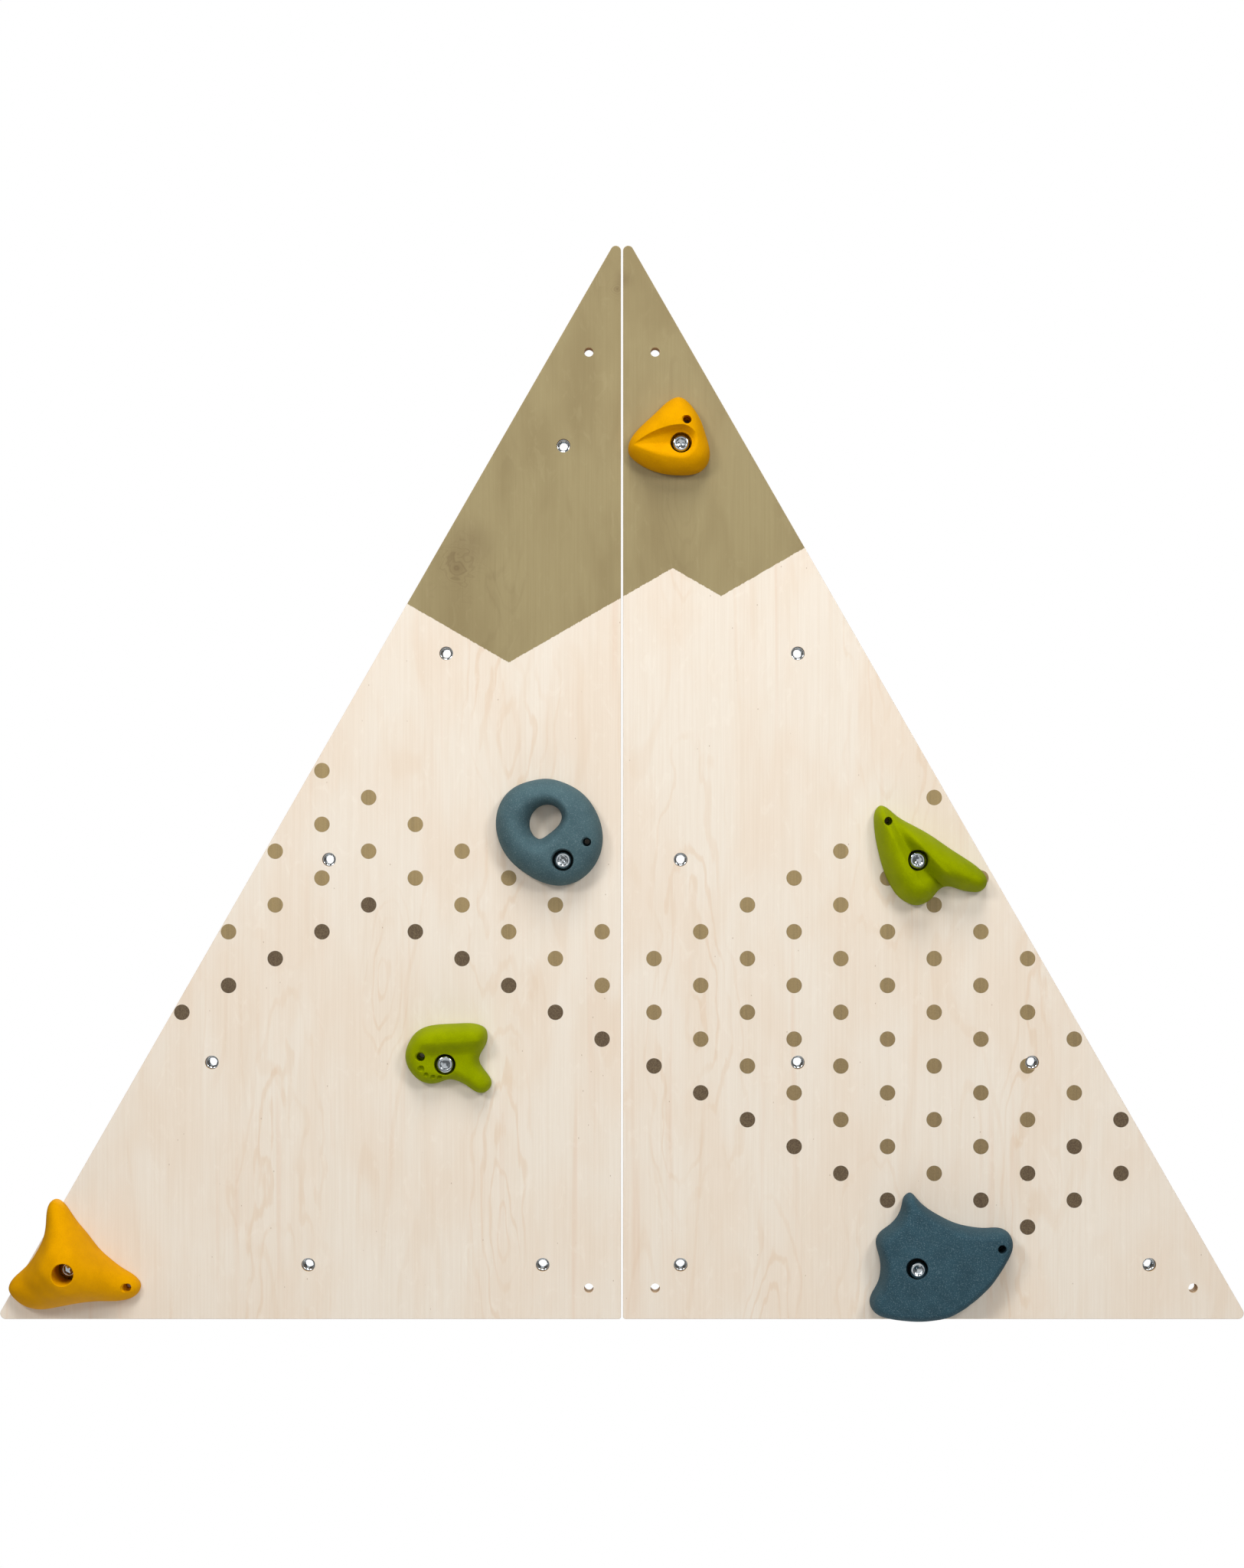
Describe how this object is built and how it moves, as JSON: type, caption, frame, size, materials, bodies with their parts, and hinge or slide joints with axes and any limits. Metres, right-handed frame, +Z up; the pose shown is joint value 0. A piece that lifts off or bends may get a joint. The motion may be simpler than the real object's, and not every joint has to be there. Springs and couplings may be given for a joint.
{
  "type": "rock climbing wall",
  "caption": "Child's mountain-shaped climbing wall: two triangular plywood panels screwed to a wall, a lattice of T-nuts and moulded resin climbing holds bolted into some of them.",
  "frame": {"origin": "midway between the two lower wall screws, in the plane of the panels' back face", "axes": "+Z up the wall along the seam, +X to the climber's right, -Y out of the wall towards the climber"},
  "size_m": [1.2, 0.065, 1.0358],
  "materials": {
    "plywood": "oiled pale birch-type plywood with a stained cap and printed dots",
    "zinc_steel": "bright zinc plated",
    "dark_steel": "black phosphate",
    "yellow_resin": "gritty cast polyester resin",
    "slate_resin": "gritty cast polyester resin",
    "green_resin": "gritty cast polyester resin"
  },
  "bodies": {
    "wall": {"panel_left": "plywood", "tnut_left_row1_col1": "zinc_steel", "tnut_left_row1_col3": "zinc_steel", "tnut_left_row1_col5": "zinc_steel", "tnut_left_row2_col2": "zinc_steel", "tnut_left_row2_col4": "zinc_steel", "tnut_left_row3_col1": "zinc_steel", "tnut_left_row3_col3": "zinc_steel", "tnut_left_row4_col2": "zinc_steel", "tnut_left_row5_col1": "zinc_steel", "panel_right": "plywood", "tnut_right_row1_col1": "zinc_steel", "tnut_right_row1_col3": "zinc_steel", "tnut_right_row1_col5": "zinc_steel", "tnut_right_row2_col2": "zinc_steel", "tnut_right_row2_col4": "zinc_steel", "tnut_right_row3_col1": "zinc_steel", "tnut_right_row3_col3": "zinc_steel", "tnut_right_row4_col2": "zinc_steel", "tnut_right_row5_col1": "zinc_steel", "bolt_yellow_scoop": "zinc_steel", "washer_yellow_scoop": "dark_steel", "bolt_slate_ring": "zinc_steel", "washer_slate_ring": "dark_steel", "bolt_green_shelf": "zinc_steel", "washer_green_shelf": "dark_steel", "bolt_yellow_peak": "zinc_steel", "washer_yellow_peak": "dark_steel", "bolt_green_valley": "zinc_steel", "washer_green_valley": "dark_steel", "bolt_slate_fin": "zinc_steel", "washer_slate_fin": "dark_steel"},
    "hold_yellow_scoop_body": {"hold_yellow_scoop": "yellow_resin"},
    "hold_slate_ring_body": {"hold_slate_ring": "slate_resin"},
    "hold_green_shelf_body": {"hold_green_shelf": "green_resin"},
    "hold_yellow_peak_body": {"hold_yellow_peak": "yellow_resin"},
    "hold_green_valley_body": {"hold_green_valley": "green_resin"},
    "hold_slate_fin_body": {"hold_slate_fin": "slate_resin"}
  },
  "joints": [
    {"name": "yellow_scoop_swivel", "type": "hinge", "parent": "wall", "child": "hold_yellow_scoop_body", "pos_m": [0.05653, -0.015, 0.81275], "axis": [0, -1, 0], "continuous": true},
    {"name": "slate_ring_swivel", "type": "hinge", "parent": "wall", "child": "hold_slate_ring_body", "pos_m": [-0.05653, -0.015, 0.41341], "axis": [0, -1, 0], "continuous": true},
    {"name": "green_shelf_swivel", "type": "hinge", "parent": "wall", "child": "hold_green_shelf_body", "pos_m": [-0.16959, -0.015, 0.21768], "axis": [0, -1, 0], "continuous": true},
    {"name": "yellow_peak_swivel", "type": "hinge", "parent": "wall", "child": "hold_yellow_peak_body", "pos_m": [-0.52878, -0.015, 0.02247], "axis": [0, -1, 0], "continuous": true},
    {"name": "green_valley_swivel", "type": "hinge", "parent": "wall", "child": "hold_green_valley_body", "pos_m": [0.28266, -0.015, 0.41341], "axis": [0, -1, 0], "continuous": true},
    {"name": "slate_fin_swivel", "type": "hinge", "parent": "wall", "child": "hold_slate_fin_body", "pos_m": [0.28266, -0.015, 0.02247], "axis": [0, -1, 0], "continuous": true}
  ]
}
